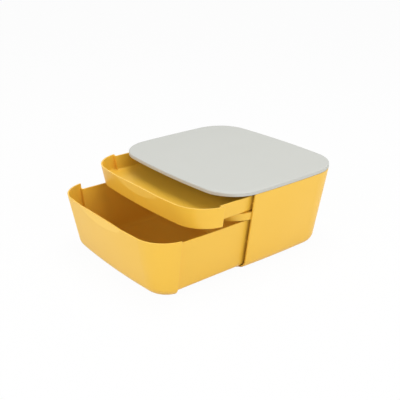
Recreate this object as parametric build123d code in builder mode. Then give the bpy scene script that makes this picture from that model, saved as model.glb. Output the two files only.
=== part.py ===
"""Desk file box with two drawers under a flat lid, in millimetres.

+Z is up and the drawers open towards -Y. The origin is the middle of the case's underside. The two
drawers are written where they stand part open; every form below is laid out with them closed.
"""
import os
from math import hypot, radians, sqrt, tan

from build123d import *

os.makedirs("parts", exist_ok=True)

# ---- Closed outer form: a rounded rectangle with bowed sides, drawn in towards the base
overall_width = 370.0
overall_depth = 306.0
side_bow = 5.0  # how far the middle of a side stands out past its corners
front_bow = 10.5
corner_radius = 72.0
wall_draft = 9.4  # degrees
base_radius = 22.0

# ---- Heights above the case's underside
case_top = 162.0
shelf_top = 125.0
lower_rim = 115.8
upper_rim = 157.5
lower_side_rim = 107.0
upper_side_rim = 156.5

# ---- Case
case_wall = 3.0
case_floor = 2.8
case_front = -86.0  # front edges of the side walls
ledge_width = 6.0
ledge_thickness = 3.0
nib_depth = 0.8
nib_height = 1.4
nib_length = 18.0
nib_gap = 0.3
nib_places = [-50.0, 15.0, 80.0]
guide_heights = [60.0, 140.0]  # lower faces of the ribs that steer each tray's sides
guide_thickness = 2.0
guide_clearance = 0.6

# ---- Shelf between the drawers
shelf_thickness = 2.5
shelf_lip_depth = 15.0  # from the shelf's top face to the lip's lower edge
shelf_lip_wall = 2.4
shelf_fit = 0.3  # gap to the case's walls

# ---- Drawers
shell_wall = 2.8  # outer front shell
tray_wall = 2.5
tray_floor = 2.5
web_thickness = 2.5  # joins the front shell to the narrower tray behind it
side_clearance = 6.5  # tray wall to case wall
slide_clearance = 0.4  # tray floor to what it slides on
seam_gap = 1.0  # rear end of the front shell to the case
shell_gap = 0.6  # front shell to the shelf's lip and the case's floor behind it
parting_gap = 1.6  # lower shell's rim to the upper shell's lower edge
ground_gap = 0.6  # lower shell's edge above the case's underside
upper_floor_radius = 5.0
lower_drawer_out = 156.0  # how far each drawer stands open
upper_drawer_out = 68.5
drawer_travel = 190.0  # from closed to the stops

# ---- Drawer stops
tab_width = 60.0
lower_tab_height = 10.0
upper_tab_height = 3.0
stop_width = 90.0
stop_thickness = 2.5
stop_overlap = 2.4
stop_fit = 0.3

# ---- Finger scoops in the rims of the front shells
scoop_width = 137.0
scoop_height = 17.5
scoop_depth = 2.2

# ---- Lid
lid_thickness = 8.0
lid_skin = 3.0
lid_skirt = 5.4
lid_top_round = 2.4
lid_bottom_round = 1.4
lid_rib = 2.0
lid_rib_rise = 1.0  # lower edges of the ribs above the skirt's
lid_rib_pitch = 50.0
lid_ribs_across = 7
lid_ribs_along = 5
locating_rib_wall = 2.0
locating_rib_depth = 3.2
locating_rib_fit = 0.3
bead_depth = 0.6
bead_height = 0.8
bead_clearance = 0.3

# ---- Non-slip pads
pad_radius = 8.0
pad_stand = 1.0  # how far a pad stands below the case
pad_recess = 0.8
pad_fit = 0.3
pad_round = 0.4
pad_x = 112.0
pad_y = 82.0

# ---- Worked out from the sizes above
half_width = overall_width / 2
half_depth = overall_depth / 2
corner_x = half_width - side_bow
corner_y = half_depth - front_bow
side_bow_radius = (corner_y**2 + side_bow**2) / (2 * side_bow)
front_bow_radius = (corner_x**2 + front_bow**2) / (2 * front_bow)
draft_slope = tan(radians(wall_draft))
oversize = overall_width + overall_depth + case_top
upright = (Align.CENTER, Align.CENTER, Align.MIN)

shell_end = case_front - seam_gap
shell_backing = shell_wall + shell_gap
case_inner_radius = base_radius - case_wall
lower_floor_radius = case_inner_radius - side_clearance
mouth_half_width = half_width - side_bow_radius + sqrt(side_bow_radius**2 - case_front**2) - case_wall
tray_half_width = mouth_half_width - side_clearance
tray_inset = case_wall + side_clearance
lower_floor = case_floor + slide_clearance
upper_floor = shelf_top + slide_clearance
upper_shell_bottom = lower_rim + parting_gap

ledge_top = shelf_top - shelf_thickness
nib_bottom = shelf_top + nib_gap
shelf_inset = max(case_wall + shelf_fit, shell_backing)
rib_inset = case_wall + locating_rib_fit
rib_bottom = case_top - locating_rib_depth
bead_bottom = rib_bottom + bead_clearance
bead_top = bead_bottom + bead_height
lid_cavity_top = case_top + lid_thickness - lid_skin
lower_stop_bottom = lower_side_rim + lower_tab_height - stop_overlap
upper_stop_bottom = upper_side_rim + upper_tab_height - stop_overlap


def lean(z):
    """How far the leaning walls have come in at a height, from where they are at the case's top."""
    return (case_top - z) * draft_slope


def stop_face(z):
    """Rear face of a stop rib, where the tab on the drawer's back wall meets it at a height."""
    tab_bow = front_bow * (tab_width / 2 / corner_x) ** 2
    return half_depth - lean(z) - tray_inset - tray_wall - tab_bow - drawer_travel - stop_fit


def bow_corner(inset):
    """Where the side's and the back's bowed lines would meet, both drawn in by inset."""
    side_centre = side_bow_radius - half_width
    back_centre = front_bow_radius - half_depth
    apart = hypot(side_centre, back_centre)
    side_radius = side_bow_radius - inset
    back_radius = front_bow_radius - inset
    along = (side_radius**2 - back_radius**2 + apart**2) / (2 * apart)
    across = sqrt(side_radius**2 - along**2)
    x = (along * side_centre + across * back_centre) / apart - side_centre
    y = (across * side_centre - along * back_centre) / apart
    return x, y


def plan(inset, z):
    """Closed outline of the case's top edge, drawn in by inset, at a height."""
    x, y = bow_corner(inset)
    with BuildSketch(Plane.XY.offset(z)) as outline:
        with BuildLine():
            ThreePointArc((x, -y), (half_width - inset, 0), (x, y))
            ThreePointArc((x, y), (0, half_depth - inset), (-x, y))
            ThreePointArc((-x, y), (inset - half_width, 0), (-x, -y))
            ThreePointArc((-x, -y), (0, inset - half_depth), (x, -y))
        make_face()
        fillet(outline.vertices(), corner_radius - inset)
    return outline.sketch


def envelope(inset, bottom, bottom_radius=0.0):
    """Solid inside the leaning outer form, drawn in by inset, from bottom up to the case's top."""
    with BuildPart() as form:
        add(plan(inset + lean(bottom), bottom))
        add(plan(inset, case_top))
        loft(ruled=True)
        if bottom_radius:
            fillet(form.faces().sort_by(Axis.Z)[0].edges(), bottom_radius)
    return form.part


def slab(y_low, y_high, z_low, z_high, mode, width=oversize):
    """Box between two depths and two heights, for the part that is being built."""
    with Locations((0, (y_low + y_high) / 2, (z_low + z_high) / 2)):
        Box(width, y_high - y_low, z_high - z_low, mode=mode)


def ring(outside_inset, inside_inset, y_low, z_low, z_high):
    """Band that follows the outer form between two insets and two heights, behind y_low."""
    outside = envelope(outside_inset, 0)
    inside = envelope(inside_inset, 0)
    with BuildPart() as band:
        add(outside)
        add(inside, mode=Mode.SUBTRACT)
        slab(y_low, oversize, z_low, z_high, Mode.INTERSECT)
    return band.part


# A scoop is the bite of a large ball in the leaning front wall. How far the ball's centre stands from
# the wall and above the rim follows from the scoop's width, height and depth and the wall's bow.
scoop_reach = 1 / (8 * scoop_depth / scoop_width**2 - 1 / front_bow_radius)
scoop_rise = (2 * scoop_reach * scoop_depth - scoop_height**2) / (2 * scoop_height)


def scoop_ball(rim, extra):
    """The scoop's ball for a front shell with its rim at this height, grown by extra."""
    wall_plane = Plane(origin=(0, lean(rim) - half_depth, rim), x_dir=(1, 0, 0), z_dir=(0, -1, -draft_slope))
    with BuildPart(wall_plane) as ball:
        with Locations((0, scoop_rise, scoop_reach - scoop_depth)):
            Sphere(hypot(scoop_reach, scoop_rise) + extra)
    return ball.part


outer_form = envelope(0, 0, base_radius)
inside_shell = envelope(shell_wall, 0, base_radius)

# ---- Case: back, two side walls and a floor that runs forward under the lower drawer
case_inside = envelope(case_wall, case_floor, case_inner_radius)
floor_form = envelope(shell_backing, 0, base_radius)
nib_band = ring(case_wall / 2, case_wall + nib_depth, case_front, nib_bottom, nib_bottom + nib_height)
shelf_ledge = ring(
    case_wall / 2, case_wall + ledge_width, case_front + case_wall, ledge_top - ledge_thickness, ledge_top
)
lid_groove = ring(
    rib_inset - bead_depth - bead_clearance,
    case_wall + ledge_width,
    case_front - case_wall,
    bead_bottom - bead_clearance,
    bead_top + bead_clearance,
)

guide_ribs = [
    ring(case_wall / 2, tray_inset - guide_clearance, case_front + case_wall, z, z + guide_thickness)
    for z in guide_heights
]

with BuildPart() as shelf_nibs:
    for nib_y in nib_places:
        slab(nib_y - nib_length / 2, nib_y + nib_length / 2, nib_bottom, nib_bottom + nib_height, Mode.ADD)
    add(nib_band, mode=Mode.INTERSECT)

with BuildPart() as front_trim:
    add(outer_form)
    add(floor_form, mode=Mode.SUBTRACT)
    slab(-oversize, case_front, -case_floor, 2 * case_floor, Mode.INTERSECT)

with BuildPart() as case_shell:
    add(outer_form)
    add(case_inside, mode=Mode.SUBTRACT)
    slab(-oversize, case_front, case_floor, oversize, Mode.SUBTRACT)
    add(front_trim.part, mode=Mode.SUBTRACT)
    add(shelf_ledge)
    add(shelf_nibs.part)
    add(guide_ribs)
    add(lid_groove, mode=Mode.SUBTRACT)
    with GridLocations(2 * pad_x, 2 * pad_y, 2, 2):
        Cylinder(pad_radius + pad_fit, pad_recess, align=upright, mode=Mode.SUBTRACT)
case_shell.part.label = "case_shell"
export_step(case_shell.part, "parts/case_shell.step")

# ---- Non-slip pads: four discs in recesses under the case's floor
with BuildPart(Plane.XY.offset(-pad_stand)) as non_slip_pads:
    with GridLocations(2 * pad_x, 2 * pad_y, 2, 2):
        Cylinder(pad_radius, pad_stand + pad_recess, align=upright)
    fillet(non_slip_pads.edges().group_by(Axis.Z)[0], pad_round)
non_slip_pads.part.label = "non_slip_pads"
export_step(non_slip_pads.part, "parts/non_slip_pads.step")

# ---- Shelf: a plate on the case's ledges, with a lip that turns down behind the front shells
lip_bottom = shelf_top - shelf_lip_depth
lower_stop_face = stop_face(lower_stop_bottom)
shelf_outside = envelope(shelf_inset, lip_bottom)
shelf_inside = envelope(shelf_inset + shelf_lip_wall, lip_bottom)
scoop_room = scoop_ball(lower_rim, shell_backing)
scoop_room_inside = scoop_ball(lower_rim, shell_backing + shelf_lip_wall)

with BuildPart() as shelf_hollow:
    add(shelf_inside)
    slab(-oversize, oversize, 0, ledge_top, Mode.INTERSECT)
    add(scoop_room_inside, mode=Mode.SUBTRACT)

with BuildPart() as divider_shelf:
    add(shelf_outside)
    slab(-oversize, oversize, 0, shelf_top, Mode.INTERSECT)
    add(scoop_room, mode=Mode.SUBTRACT)
    add(shelf_hollow.part, mode=Mode.SUBTRACT)
    slab(case_front + shelf_lip_wall, oversize, 0, ledge_top, Mode.SUBTRACT)
    slab(
        lower_stop_face - stop_thickness, lower_stop_face, lower_stop_bottom, shelf_top, Mode.ADD, stop_width
    )
divider_shelf.part.label = "divider_shelf"
export_step(divider_shelf.part, "parts/divider_shelf.step")


# ---- Drawers: each is one moulding, a straight-sided tray behind a front shell on the outer form
def tray_plan(inset, z):
    """Straight-sided outline of a tray that passes through the case's mouth, drawn in by inset."""
    side = tray_half_width - inset
    back = half_depth - tray_inset - inset
    back_corner = back - front_bow * (side / corner_x) ** 2
    with BuildSketch(Plane.XY.offset(z)) as outline:
        with BuildLine():
            Polyline((-side, back_corner), (-side, -half_depth), (side, -half_depth), (side, back_corner))
            ThreePointArc((side, back_corner), (0, back), (-side, back_corner))
        make_face()
        fillet(outline.vertices().sort_by(Axis.Y)[-2:], corner_radius - tray_inset - inset)
    return outline.sketch


def tray_form(inset, bottom, bottom_radius):
    """Leaning solid inside a tray's outline, from bottom up to the case's top."""
    with BuildPart() as form:
        add(tray_plan(inset + lean(bottom), bottom))
        add(tray_plan(inset, case_top))
        loft(ruled=True)
        fillet(form.faces().sort_by(Axis.Z)[0].edges().sort_by(Axis.Y)[1:], bottom_radius)
    return form.part


def drawer_form(shell_bottom, floor, floor_radius, shell_radius, rim, side_rim, tab_height):
    """Closed drawer, from its shell's lower edge and its tray's floor up to its rims."""
    inner_floor = floor + tray_floor
    tray_outside = tray_form(0, floor, floor_radius)
    tray_inside = tray_form(tray_wall, inner_floor, floor_radius - tray_wall)
    shell_inside = envelope(shell_wall, inner_floor, shell_radius)
    ball = scoop_ball(rim, 0)
    ball_back = scoop_ball(rim, shell_wall)
    with BuildPart() as under_floor:
        add(inside_shell)
        slab(-oversize, oversize, -floor, floor, Mode.INTERSECT)
    with BuildPart() as front_shell:
        add(outer_form)
        slab(-oversize, shell_end, shell_bottom, rim, Mode.INTERSECT)
        add(shell_inside, mode=Mode.SUBTRACT)
        add(under_floor.part, mode=Mode.SUBTRACT)
    with BuildPart() as web:
        add(outer_form)
        slab(shell_end - web_thickness, shell_end, floor, side_rim, Mode.INTERSECT)
        add(tray_inside, mode=Mode.SUBTRACT)
    with BuildPart() as scoop_back:
        add(outer_form)
        slab(-oversize, shell_end, rim - 3 * scoop_height, rim, Mode.INTERSECT)
        add(ball_back, mode=Mode.INTERSECT)
    with BuildPart() as stop_tab:
        add(tray_outside)
        slab(0, oversize, inner_floor, side_rim + tab_height, Mode.INTERSECT, tab_width)
        add(tray_inside, mode=Mode.SUBTRACT)
    with BuildPart() as drawer:
        add(tray_outside)
        add(tray_inside, mode=Mode.SUBTRACT)
        slab(shell_end - web_thickness, oversize, floor, side_rim, Mode.INTERSECT)
        add(front_shell.part)
        add(web.part)
        add(stop_tab.part)
        add(scoop_back.part)
        add(ball, mode=Mode.SUBTRACT)
    return drawer.part


lower_closed = drawer_form(
    ground_gap, lower_floor, lower_floor_radius, case_inner_radius, lower_rim, lower_side_rim, lower_tab_height
)
with BuildPart() as lower_drawer:
    with Locations((0, -lower_drawer_out, 0)):
        add(lower_closed)
lower_drawer.part.label = "lower_drawer"
export_step(lower_drawer.part, "parts/lower_drawer.step")

upper_closed = drawer_form(
    upper_shell_bottom,
    upper_floor,
    upper_floor_radius,
    upper_floor_radius,
    upper_rim,
    upper_side_rim,
    upper_tab_height,
)
with BuildPart() as upper_drawer:
    with Locations((0, -upper_drawer_out, 0)):
        add(upper_closed)
upper_drawer.part.label = "upper_drawer"
export_step(upper_drawer.part, "parts/upper_drawer.step")

# ---- Lid: a ribbed plate whose locating rib snaps inside the case's walls
upper_stop_face = stop_face(upper_stop_bottom)
rib_front = case_front + case_wall
locating_rib = ring(rib_inset, rib_inset + locating_rib_wall, rib_front, rib_bottom, case_top)
snap_bead = ring(rib_inset - bead_depth, rib_inset + locating_rib_wall / 2, rib_front, bead_bottom, bead_top)

with BuildPart() as lid_cavity:
    add(plan(lid_skirt, case_top))
    extrude(amount=lid_cavity_top - case_top)
    with Locations((0, 0, (case_top + lid_rib_rise + lid_cavity_top) / 2)):
        with GridLocations(lid_rib_pitch, 0, lid_ribs_across, 1):
            Box(lid_rib, oversize, lid_cavity_top - case_top - lid_rib_rise, mode=Mode.SUBTRACT)
        with GridLocations(0, lid_rib_pitch, 1, lid_ribs_along):
            Box(oversize, lid_rib, lid_cavity_top - case_top - lid_rib_rise, mode=Mode.SUBTRACT)

with BuildPart() as lid:
    add(plan(0, case_top))
    extrude(amount=lid_thickness)
    fillet(lid.faces().sort_by(Axis.Z)[-1].edges(), lid_top_round)
    fillet(lid.faces().sort_by(Axis.Z)[0].edges(), lid_bottom_round)
    add(lid_cavity.part, mode=Mode.SUBTRACT)
    add(locating_rib)
    add(snap_bead)
    slab(
        upper_stop_face - stop_thickness, upper_stop_face, upper_stop_bottom, lid_cavity_top, Mode.ADD, stop_width
    )
lid.part.label = "lid"
export_step(lid.part, "parts/lid.step")
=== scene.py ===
"""Desk file box with two drawers under a flat lid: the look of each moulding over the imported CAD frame."""

import bpy
from math import cos, radians, sin
from mathutils import Matrix, Vector


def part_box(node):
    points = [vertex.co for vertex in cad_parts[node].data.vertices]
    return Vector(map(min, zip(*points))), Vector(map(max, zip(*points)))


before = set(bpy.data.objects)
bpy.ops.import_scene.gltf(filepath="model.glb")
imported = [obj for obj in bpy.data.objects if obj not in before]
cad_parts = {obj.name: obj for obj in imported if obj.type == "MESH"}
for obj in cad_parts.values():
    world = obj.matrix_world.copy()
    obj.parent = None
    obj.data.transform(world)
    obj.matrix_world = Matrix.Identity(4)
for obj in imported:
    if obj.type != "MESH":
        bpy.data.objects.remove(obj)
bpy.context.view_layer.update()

# ---- Studio
# A white sweep under even light: soft boxes in front, to the right and overhead, and a weak reflector behind
# on the right. The camera stands to the front right, a little above the lid.
eye = Vector((0.9957, -0.8442, 0.6197))
looked_at = Vector((0.15967, -0.19294, 0.17335))
camera_roll = radians(-0.735)
back = (eye - looked_at).normalized()
level_right = Vector((0, 0, 1)).cross(back).normalized()
level_up = back.cross(level_right)
right = level_right * cos(camera_roll) + level_up * sin(camera_roll)
up = level_up * cos(camera_roll) - level_right * sin(camera_roll)

camera_data = bpy.data.cameras.new("camera")
camera_data.sensor_width = 36.0
camera_data.lens = 60.96
camera_data.clip_start = 0.05
camera = bpy.data.objects.new("camera", camera_data)
camera.matrix_world = Matrix((right, up, back)).transposed().to_4x4()
camera.location = eye
bpy.context.collection.objects.link(camera)
bpy.context.scene.camera = camera
bpy.context.scene.view_settings.view_transform = "Standard"


def maths(tree, operation, *values):
    """One maths node in a node tree; each value is a number or another node's output."""
    step = tree.nodes.new("ShaderNodeMath")
    step.operation = operation
    for place, value in enumerate(values):
        if isinstance(value, float):
            step.inputs[place].default_value = value
        else:
            tree.links.new(value, step.inputs[place])
    return step.outputs["Value"]


def seen_white(tree):
    """1 where the camera sees the white straight or in a gloss, and 0 where its light falls on the object."""
    path = tree.nodes.new("ShaderNodeLightPath")
    return maths(tree, "MAXIMUM", path.outputs["Is Camera Ray"], path.outputs["Is Glossy Ray"])


white = (1.0, 1.0, 1.0, 1.0)
seen_strength = 1.0
room_strength = 0.40
world = bpy.data.worlds.new("studio_air")
world.use_nodes = True
bpy.context.scene.world = world
air = world.node_tree
air.nodes.clear()
air_mix = air.nodes.new("ShaderNodeMixShader")
air_out = air.nodes.new("ShaderNodeOutputWorld")
air.links.new(seen_white(air), air_mix.inputs["Fac"])
for mix_place, strength in ((1, room_strength), (2, seen_strength)):
    light = air.nodes.new("ShaderNodeBackground")
    light.inputs["Color"].default_value = white
    light.inputs["Strength"].default_value = strength
    air.links.new(light.outputs["Background"], air_mix.inputs[mix_place])
air.links.new(air_mix.outputs["Shader"], air_out.inputs["Surface"])

lit_point = Vector((0, -0.05, 0.08))
for lamp_name, lamp_place, lamp_size, lamp_power in (
    ("soft_box_front", (0.15, -1.9, 0.95), 1.3, 18.0),
    ("soft_box_right", (1.9, 0.10, 0.90), 1.2, 14.0),
    ("soft_box_top", (-0.1, 0.25, 2.2), 1.4, 26.0),
    ("reflector_back_right", (1.5, 1.2, 0.35), 1.4, 7.0),
):
    lamp_data = bpy.data.lights.new(lamp_name, "AREA")
    lamp_data.shape = "DISK"
    lamp_data.size = lamp_size
    lamp_data.energy = lamp_power
    lamp = bpy.data.objects.new(lamp_name, lamp_data)
    lamp.location = lamp_place
    lamp.rotation_euler = (Vector(lamp_place) - lit_point).to_track_quat("Z", "Y").to_euler()
    bpy.context.collection.objects.link(lamp)

floor_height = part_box("non_slip_pads")[0].z
floor_reach = 6
floor_shadow = 0.04
floor_corners = [
    (across * floor_reach, along * floor_reach, floor_height)
    for across, along in ((-1, -1), (1, -1), (1, 1), (-1, 1))
]
floor_mesh = bpy.data.meshes.new("floor")
floor_mesh.from_pydata(floor_corners, [], [(0, 1, 2, 3)])
floor = bpy.data.objects.new("floor", floor_mesh)
bpy.context.collection.objects.link(floor)
floor_paint = bpy.data.materials.new("white_sweep")
floor_paint.use_nodes = True
sweep = floor_paint.node_tree
sweep.nodes.clear()
matt_floor = sweep.nodes.new("ShaderNodeBsdfDiffuse")
matt_floor.inputs["Color"].default_value = (0.76, 0.76, 0.76, 1.0)
bright_floor = sweep.nodes.new("ShaderNodeEmission")
bright_floor.inputs["Color"].default_value = white
bright_floor.inputs["Strength"].default_value = seen_strength
shadow_floor = sweep.nodes.new("ShaderNodeMixShader")
shadow_floor.inputs["Fac"].default_value = floor_shadow
floor_mix = sweep.nodes.new("ShaderNodeMixShader")
floor_out = sweep.nodes.new("ShaderNodeOutputMaterial")
sweep.links.new(bright_floor.outputs["Emission"], shadow_floor.inputs[1])
sweep.links.new(matt_floor.outputs["BSDF"], shadow_floor.inputs[2])
sweep.links.new(seen_white(sweep), floor_mix.inputs["Fac"])
sweep.links.new(matt_floor.outputs["BSDF"], floor_mix.inputs[1])
sweep.links.new(shadow_floor.outputs["Shader"], floor_mix.inputs[2])
sweep.links.new(floor_mix.outputs["Shader"], floor_out.inputs["Surface"])
floor_mesh.materials.append(floor_paint)

# ---- Case
# The case is one injection moulding in warm yellow plastic: back, two sides and a floor, drawn in towards the
# base so that it leaves its mould. Its faces carry a fine matt grain from the mould's spark-worn steel.
mm_per_metre = 1000.0


def new_group(name, inputs, outputs):
    """Empty shader group with its named inputs (name, default) and outputs (name, socket type)."""
    group = bpy.data.node_groups.new(name, "ShaderNodeTree")
    for label, value in inputs:
        socket = group.interface.new_socket(label, in_out="INPUT", socket_type="NodeSocketFloat")
        socket.default_value = value
    for label, kind in outputs:
        group.interface.new_socket(label, in_out="OUTPUT", socket_type=kind)
    return group, group.nodes.new("NodeGroupInput"), group.nodes.new("NodeGroupOutput")


def ranged(tree, value, from_low, from_high, to_low=0.0, to_high=1.0):
    """Stretches one span of values to another and clips what lies outside it."""
    span = tree.nodes.new("ShaderNodeMapRange")
    span.inputs["From Min"].default_value = from_low
    span.inputs["From Max"].default_value = from_high
    span.inputs["To Min"].default_value = to_low
    span.inputs["To Max"].default_value = to_high
    tree.links.new(value, span.inputs["Value"])
    return span.outputs["Result"]


def noise(tree, size_mm, detail, roughness=0.5, distortion=0.0):
    """Noise over the object, in patches whose size in millimetres comes from a node's output."""
    place = tree.nodes.new("ShaderNodeTexCoord")
    texture = tree.nodes.new("ShaderNodeTexNoise")
    texture.inputs["Detail"].default_value = detail
    texture.inputs["Roughness"].default_value = roughness
    texture.inputs["Distortion"].default_value = distortion
    tree.links.new(place.outputs["Object"], texture.inputs["Vector"])
    tree.links.new(maths(tree, "DIVIDE", mm_per_metre, size_mm), texture.inputs["Scale"])
    return texture.outputs["Fac"]


# Mould grain: a fine pebbled height, and apart from it the slow faint flow of the melt.
grain, grain_in, grain_out = new_group(
    "mould_grain",
    (("Grain Size mm", 0.7), ("Flow Size mm", 90.0)),
    (("Height", "NodeSocketFloat"), ("Flow", "NodeSocketFloat")),
)
pebbles = noise(grain, grain_in.outputs["Grain Size mm"], detail=2.0, roughness=0.55)
flow = noise(grain, grain_in.outputs["Flow Size mm"], detail=3.0, roughness=0.45, distortion=0.6)
grain.links.new(pebbles, grain_out.inputs["Height"])
grain.links.new(flow, grain_out.inputs["Flow"])

# Edge rounding: the rims and corners are rounded a little in the shading. A mask along them, stronger in some
# patches, carries a painted highlight in the colour and a rubbed polish in the roughness.
edge_round, edge_round_in, edge_round_out = new_group(
    "edge_round_highlight_and_polish",
    (("Radius mm", 0.8), ("Patch Size mm", 14.0)),
    (("Normal", "NodeSocketVector"), ("Mask", "NodeSocketFloat")),
)
rounded = edge_round.nodes.new("ShaderNodeBevel")
rounded.samples = 6
true_face = edge_round.nodes.new("ShaderNodeNewGeometry")
same_way = edge_round.nodes.new("ShaderNodeVectorMath")
same_way.operation = "DOT_PRODUCT"
edge_round_radius = maths(edge_round, "MULTIPLY", edge_round_in.outputs["Radius mm"], 1.0 / mm_per_metre)
edge_round.links.new(edge_round_radius, rounded.inputs["Radius"])
edge_round.links.new(rounded.outputs["Normal"], edge_round_out.inputs["Normal"])
edge_round.links.new(rounded.outputs["Normal"], same_way.inputs[0])
edge_round.links.new(true_face.outputs["Normal"], same_way.inputs[1])
edge_line = ranged(edge_round, same_way.outputs["Value"], from_low=0.995, from_high=0.80)
patch_noise = noise(edge_round, edge_round_in.outputs["Patch Size mm"], detail=3.0)
patches = ranged(edge_round, patch_noise, from_low=0.35, from_high=0.65, to_low=0.45)
edge_round.links.new(maths(edge_round, "MULTIPLY", edge_line, patches), edge_round_out.inputs["Mask"])


def placed(tree, group, **values):
    """A shader group in a material, with its inputs' values; an underscore stands for a space."""
    node = tree.nodes.new("ShaderNodeGroup")
    node.node_tree = group
    for label, value in values.items():
        node.inputs[label.replace("_", " ")].default_value = value
    return node


def blended(tree, factor, first, second):
    """Blend of two colours by a factor; each colour is three numbers or another node's output."""
    mix = tree.nodes.new("ShaderNodeMix")
    mix.data_type = "RGBA"
    tree.links.new(factor, mix.inputs["Factor"])
    for side, colour in (("A", first), ("B", second)):
        if isinstance(colour, tuple):
            mix.inputs[side].default_value = (*colour, 1.0)
        else:
            tree.links.new(colour, mix.inputs[side])
    return mix.outputs["Result"]


def bumped(tree, height, strength, distance, normal=None):
    """Normal over a raised pattern, in metres of height, on top of another normal where one is given."""
    bump = tree.nodes.new("ShaderNodeBump")
    bump.inputs["Strength"].default_value = strength
    bump.inputs["Distance"].default_value = distance
    tree.links.new(height, bump.inputs["Height"])
    if normal is not None:
        tree.links.new(normal, bump.inputs["Normal"])
    return bump.outputs["Normal"]


def moulded_plastic(
    name, colour, deep_colour, edge_highlight_colour, roughness, grain_size, grain_height, edge_radius
):
    """Grained plastic: its colour drifts to a deeper one along the melt's flow, pales along the edges as a
    painted highlight, and is polished there by rubbing.
    """
    roughness_drift = 0.05
    polish_of_rubbing = -0.12
    grain_strength = 0.35
    dull = roughness + roughness_drift
    bright = roughness - roughness_drift
    plastic = bpy.data.materials.new(name)
    plastic.use_nodes = True
    tree = plastic.node_tree
    surface = tree.nodes["Principled BSDF"]
    surface.inputs["IOR"].default_value = 1.46
    mould = placed(tree, grain, Grain_Size_mm=grain_size)
    edges = placed(tree, edge_round, Radius_mm=edge_radius)
    drift = blended(tree, mould.outputs["Flow"], deep_colour, colour)
    # Painted highlight: the colour pales along the edges under the edge mask.
    edge_highlighted = blended(tree, edges.outputs["Mask"], drift, edge_highlight_colour)
    sheen = ranged(tree, mould.outputs["Flow"], from_low=0.0, from_high=1.0, to_low=dull, to_high=bright)
    polished = maths(tree, "MULTIPLY_ADD", edges.outputs["Mask"], polish_of_rubbing, sheen)
    raised = bumped(tree, mould.outputs["Height"], grain_strength, grain_height, edges.outputs["Normal"])
    tree.links.new(edge_highlighted, surface.inputs["Base Color"])
    tree.links.new(polished, surface.inputs["Roughness"])
    tree.links.new(raised, surface.inputs["Normal"])
    return plastic


def wear(node, material):
    """Puts a material on every face of a CAD node."""
    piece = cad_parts[node]
    piece.data.materials.clear()
    piece.data.materials.append(material)
    for face in piece.data.polygons:
        face.material_index = 0


yellow = {
    "colour": (0.835, 0.506, 0.056),
    "deep_colour": (0.823, 0.493, 0.050),
    # Paler edge colour: a painted highlight along the rims and corners.
    "edge_highlight_colour": (0.890, 0.590, 0.120),
    "roughness": 0.40,
    "grain_size": 0.7,
    "grain_height": 0.00006,
    "edge_radius": 0.8,
}
yellow_plastic = moulded_plastic("yellow_moulded_plastic", **yellow)
wear("case_shell", yellow_plastic)

# ---- Non-slip pads
# Four soft black rubber discs, dull and a little dusty. They are pressed into recesses under the case's floor
# and hold it just off the desk.
black_rubber = (0.020, 0.020, 0.021)
dusty_rubber = (0.070, 0.068, 0.064)
pad_rubber = bpy.data.materials.new("pad_rubber")
pad_rubber.use_nodes = True
pad_tree = pad_rubber.node_tree
pad_surface = pad_tree.nodes["Principled BSDF"]
pad_surface.inputs["Roughness"].default_value = 0.85
pad_grain = placed(pad_tree, grain, Grain_Size_mm=0.4, Flow_Size_mm=5.0)
pad_dust = blended(pad_tree, pad_grain.outputs["Flow"], black_rubber, dusty_rubber)
pad_raised = bumped(pad_tree, pad_grain.outputs["Height"], strength=0.5, distance=0.0001)
pad_tree.links.new(pad_dust, pad_surface.inputs["Base Color"])
pad_tree.links.new(pad_raised, pad_surface.inputs["Normal"])
wear("non_slip_pads", pad_rubber)

# ---- Shelf between the drawers
# A plate moulded in the case's plastic. It lies on ledges under small nibs, and its lip turns down behind the
# fronts, where it shows as a strip between the open drawers.
wear("divider_shelf", yellow_plastic)
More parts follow.
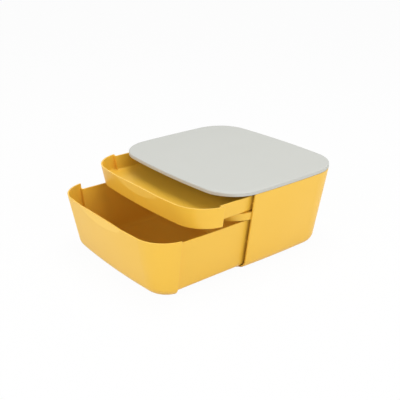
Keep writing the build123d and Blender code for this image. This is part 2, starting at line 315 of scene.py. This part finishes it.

# ---- Lower drawer
# One deep moulding: a front shell that goes on round the corners, with a finger scoop in its rim, and a
# narrower tray behind it that passes into the case.

# Scoop light: half an ellipse below a front's rim, on its outer face, where the finger scoop is. The colour
# there is painted paler, as painted light standing in for the light from above on the scoop's upturned face.
scoop, scoop_in, scoop_out = new_group(
    "scoop_painted_light",
    (("Rim Height mm", 115.0), ("Half Width mm", 68.0), ("Depth Below Rim mm", 17.0)),
    (("Mask", "NodeSocketFloat"),),
)
scoop_place = scoop.nodes.new("ShaderNodeTexCoord")
scoop_axes = scoop.nodes.new("ShaderNodeSeparateXYZ")
scoop_face = scoop.nodes.new("ShaderNodeNewGeometry")
scoop_facing = scoop.nodes.new("ShaderNodeSeparateXYZ")
scoop.links.new(scoop_place.outputs["Object"], scoop_axes.inputs["Vector"])
scoop.links.new(scoop_face.outputs["Normal"], scoop_facing.inputs["Vector"])
across_mm = maths(scoop, "MULTIPLY", scoop_axes.outputs["X"], mm_per_metre)
height_mm = maths(scoop, "MULTIPLY", scoop_axes.outputs["Z"], mm_per_metre)
below_mm = maths(scoop, "SUBTRACT", scoop_in.outputs["Rim Height mm"], height_mm)
across = maths(scoop, "DIVIDE", across_mm, scoop_in.outputs["Half Width mm"])
below = maths(scoop, "DIVIDE", below_mm, scoop_in.outputs["Depth Below Rim mm"])
across_squared = maths(scoop, "MULTIPLY", across, across)
below_squared = maths(scoop, "MULTIPLY", below, below)
from_middle = maths(scoop, "ADD", across_squared, below_squared)
inside_line = ranged(scoop, from_middle, from_low=1.06, from_high=0.90)
facing_out = ranged(scoop, scoop_facing.outputs["Y"], from_low=-0.4, from_high=-0.7)
scoop.links.new(maths(scoop, "MULTIPLY", inside_line, facing_out), scoop_out.inputs["Mask"])


def front_plastic(name, rim_height):
    """The case's plastic with painted light, a little paler in the finger scoop below a rim, whose height is
    in millimetres.
    """
    # Painted light: the scoop's paler colour, as if lit from above.
    scoop_lit_colour = (0.872, 0.552, 0.085)
    plastic = moulded_plastic(name, **yellow)
    tree = plastic.node_tree
    colour_socket = tree.nodes["Principled BSDF"].inputs["Base Color"]
    grained_colour = colour_socket.links[0].from_socket
    scoop_light = placed(tree, scoop, Rim_Height_mm=rim_height)
    tree.links.new(blended(tree, scoop_light.outputs["Mask"], grained_colour, scoop_lit_colour), colour_socket)
    return plastic


lower_rim = 115.8
wear("lower_drawer", front_plastic("yellow_lower_drawer", lower_rim))

# ---- Upper drawer
# The same moulding made shallow, in the same plastic. It slides on the shelf, and its shell closes the case's
# mouth above the lower drawer's.
upper_rim = 157.5
wear("upper_drawer", front_plastic("yellow_upper_drawer", upper_rim))

# ---- Lid
# A plate in pale warm grey plastic with softly rounded edges, moulded with the ribs under it. A bead on its
# locating rib snaps into a groove in the case's top.
grey_plastic = moulded_plastic(
    "pale_grey_moulded_plastic",
    colour=(0.496, 0.502, 0.470),
    deep_colour=(0.486, 0.492, 0.460),
    # Paler edge colour: a painted highlight along the lid's edges.
    edge_highlight_colour=(0.510, 0.516, 0.484),
    roughness=0.55,
    grain_size=0.6,
    grain_height=0.00005,
    edge_radius=0.5,
)
wear("lid", grey_plastic)
